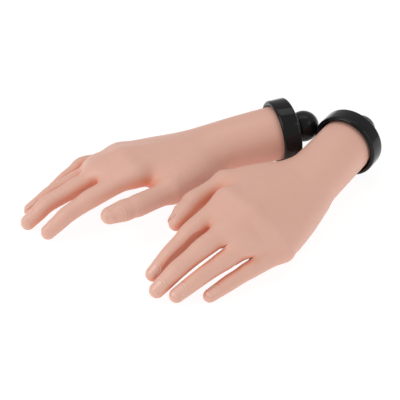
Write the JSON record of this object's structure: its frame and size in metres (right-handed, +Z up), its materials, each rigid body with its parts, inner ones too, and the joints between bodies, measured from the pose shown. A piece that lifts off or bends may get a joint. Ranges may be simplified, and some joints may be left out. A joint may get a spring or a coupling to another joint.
{
  "type": "articulated practice hand pair",
  "caption": "A pair of life-size soft practice hands lying palm down, with jointed fingers, separate nails, and round black wrist collars with ball mounting knobs.",
  "frame": {"origin": "on the floor under the centre of the pair's bounding box", "axes": "+Z up; the fingers point to -X and towards -Y; the two hands lie beside each other, the right hand on the +Y side"},
  "size_m": [0.298, 0.221, 0.0578],
  "materials": {
    "skin": "soft flesh-coloured silicone, satin",
    "nail": "thin translucent nail tip, semi-gloss",
    "collar": "polished black",
    "base": "polished black",
    "frame": "moulded off-white nylon",
    "link": "moulded off-white nylon",
    "steel": "turned stainless steel"
  },
  "bodies": {
    "hands": {"right_collar": "collar", "right_base": "base", "right_palm_frame": "frame", "right_palm_skin": "skin", "left_collar": "collar", "left_base": "base", "left_palm_frame": "frame", "left_palm_skin": "skin", "knuckle_pins": "steel", "base_screws": "steel"},
    "right_thumb_lower": {"right_thumb_lower_link": "link", "right_thumb_lower_skin": "skin"},
    "right_thumb_tip": {"right_thumb_tip_link": "link", "right_thumb_tip_skin": "skin", "right_thumb_nail": "nail"},
    "right_index_lower": {"right_index_lower_link": "link", "right_index_lower_skin": "skin"},
    "right_index_tip": {"right_index_tip_link": "link", "right_index_tip_skin": "skin", "right_index_nail": "nail"},
    "right_middle_lower": {"right_middle_lower_link": "link", "right_middle_lower_skin": "skin"},
    "right_middle_tip": {"right_middle_tip_link": "link", "right_middle_tip_skin": "skin", "right_middle_nail": "nail"},
    "right_ring_lower": {"right_ring_lower_link": "link", "right_ring_lower_skin": "skin"},
    "right_ring_tip": {"right_ring_tip_link": "link", "right_ring_tip_skin": "skin", "right_ring_nail": "nail"},
    "right_little_lower": {"right_little_lower_link": "link", "right_little_lower_skin": "skin"},
    "right_little_tip": {"right_little_tip_link": "link", "right_little_tip_skin": "skin", "right_little_nail": "nail"},
    "left_thumb_lower": {"left_thumb_lower_link": "link", "left_thumb_lower_skin": "skin"},
    "left_thumb_tip": {"left_thumb_tip_link": "link", "left_thumb_tip_skin": "skin", "left_thumb_nail": "nail"},
    "left_index_lower": {"left_index_lower_link": "link", "left_index_lower_skin": "skin"},
    "left_index_tip": {"left_index_tip_link": "link", "left_index_tip_skin": "skin", "left_index_nail": "nail"},
    "left_middle_lower": {"left_middle_lower_link": "link", "left_middle_lower_skin": "skin"},
    "left_middle_tip": {"left_middle_tip_link": "link", "left_middle_tip_skin": "skin", "left_middle_nail": "nail"},
    "left_ring_lower": {"left_ring_lower_link": "link", "left_ring_lower_skin": "skin"},
    "left_ring_tip": {"left_ring_tip_link": "link", "left_ring_tip_skin": "skin", "left_ring_nail": "nail"},
    "left_little_lower": {"left_little_lower_link": "link", "left_little_lower_skin": "skin"},
    "left_little_tip": {"left_little_tip_link": "link", "left_little_tip_skin": "skin", "left_little_nail": "nail"}
  },
  "joints": [
    {"name": "right_thumb_knuckle", "type": "hinge", "parent": "hands", "child": "right_thumb_lower", "pos_m": [-0.02747, -0.0042, 0.0291], "axis": [0.2381, -0.3746, -0.8961], "range_deg": [-24.7, 15.3]},
    {"name": "right_thumb_middle", "type": "hinge", "parent": "right_thumb_lower", "child": "right_thumb_tip", "pos_m": [-0.05254, -0.02554, 0.03136], "axis": [0.2381, -0.3746, -0.8961], "range_deg": [-19.3, 4.7]},
    {"name": "right_index_knuckle", "type": "hinge", "parent": "hands", "child": "right_index_lower", "pos_m": [-0.05705, 0.00644, 0.0384], "axis": [0.3829, -0.8957, 0.2261], "range_deg": [-28.5, 24.5]},
    {"name": "right_index_middle", "type": "hinge", "parent": "right_index_lower", "child": "right_index_tip", "pos_m": [-0.09116, -0.01103, 0.02695], "axis": [0.3829, -0.8957, 0.2261], "range_deg": [-7.3, 54.7]},
    {"name": "right_middle_knuckle", "type": "hinge", "parent": "hands", "child": "right_middle_lower", "pos_m": [-0.06735, 0.02574, 0.03757], "axis": [0.4021, -0.8876, 0.2248], "range_deg": [-28.4, 24.6]},
    {"name": "right_middle_middle", "type": "hinge", "parent": "right_middle_lower", "child": "right_middle_tip", "pos_m": [-0.10456, 0.00576, 0.02524], "axis": [0.4021, -0.8876, 0.2248], "range_deg": [-2, 60]},
    {"name": "right_ring_knuckle", "type": "hinge", "parent": "hands", "child": "right_ring_lower", "pos_m": [-0.07133, 0.04456, 0.02936], "axis": [0.4603, -0.86, 0.2203], "range_deg": [-25.7, 27.3]},
    {"name": "right_ring_middle", "type": "hinge", "parent": "right_ring_lower", "child": "right_ring_tip", "pos_m": [-0.10556, 0.02391, 0.02025], "axis": [0.4603, -0.86, 0.2203], "range_deg": [-2.2, 59.8]},
    {"name": "right_little_knuckle", "type": "hinge", "parent": "hands", "child": "right_little_lower", "pos_m": [-0.07494, 0.05906, 0.01829], "axis": [0.4849, -0.847, 0.218], "range_deg": [-3, 45]},
    {"name": "right_little_middle", "type": "hinge", "parent": "right_little_lower", "child": "right_little_tip", "pos_m": [-0.1029, 0.04373, 0.02095], "axis": [0.4849, -0.847, 0.218], "range_deg": [-31, 31]},
    {"name": "left_thumb_knuckle", "type": "hinge", "parent": "hands", "child": "left_thumb_lower", "pos_m": [0.01375, -0.00162, 0.03547], "axis": [0.3804, -0.3918, 0.8377], "range_deg": [-39, 1]},
    {"name": "left_thumb_middle", "type": "hinge", "parent": "left_thumb_lower", "child": "left_thumb_tip", "pos_m": [-0.00918, -0.02535, 0.03479], "axis": [0.3804, -0.3918, 0.8377], "range_deg": [-21, 3]},
    {"name": "left_index_knuckle", "type": "hinge", "parent": "hands", "child": "left_index_lower", "pos_m": [0.01651, -0.03355, 0.04239], "axis": [0.7211, -0.603, -0.3411], "range_deg": [-24.5, 28.5]},
    {"name": "left_index_middle", "type": "hinge", "parent": "left_index_lower", "child": "left_index_tip", "pos_m": [-0.01079, -0.06168, 0.03441], "axis": [0.7211, -0.603, -0.3411], "range_deg": [-21.5, 40.5]},
    {"name": "left_middle_knuckle", "type": "hinge", "parent": "hands", "child": "left_middle_lower", "pos_m": [0.03194, -0.04869, 0.03897], "axis": [0.6511, -0.6826, -0.3318], "range_deg": [-23.5, 29.5]},
    {"name": "left_middle_middle", "type": "hinge", "parent": "left_middle_lower", "child": "left_middle_tip", "pos_m": [-0.00109, -0.07701, 0.03241], "axis": [0.6511, -0.6826, -0.3318], "range_deg": [-17, 45]},
    {"name": "left_ring_knuckle", "type": "hinge", "parent": "hands", "child": "left_ring_lower", "pos_m": [0.04796, -0.05715, 0.02851], "axis": [0.5934, -0.7375, -0.3223], "range_deg": [-22.5, 30.5]},
    {"name": "left_ring_middle", "type": "hinge", "parent": "left_ring_lower", "child": "left_ring_tip", "pos_m": [0.01528, -0.08152, 0.02411], "axis": [0.5934, -0.7375, -0.3223], "range_deg": [-11, 51]},
    {"name": "left_little_knuckle", "type": "hinge", "parent": "hands", "child": "left_little_lower", "pos_m": [0.05967, -0.06386, 0.01572], "axis": [0.5604, -0.7654, -0.3163], "range_deg": [-12.7, 35.3]},
    {"name": "left_little_middle", "type": "hinge", "parent": "left_little_lower", "child": "left_little_tip", "pos_m": [0.03376, -0.08263, 0.01525], "axis": [0.5604, -0.7654, -0.3163], "range_deg": [-16, 46]}
  ]
}
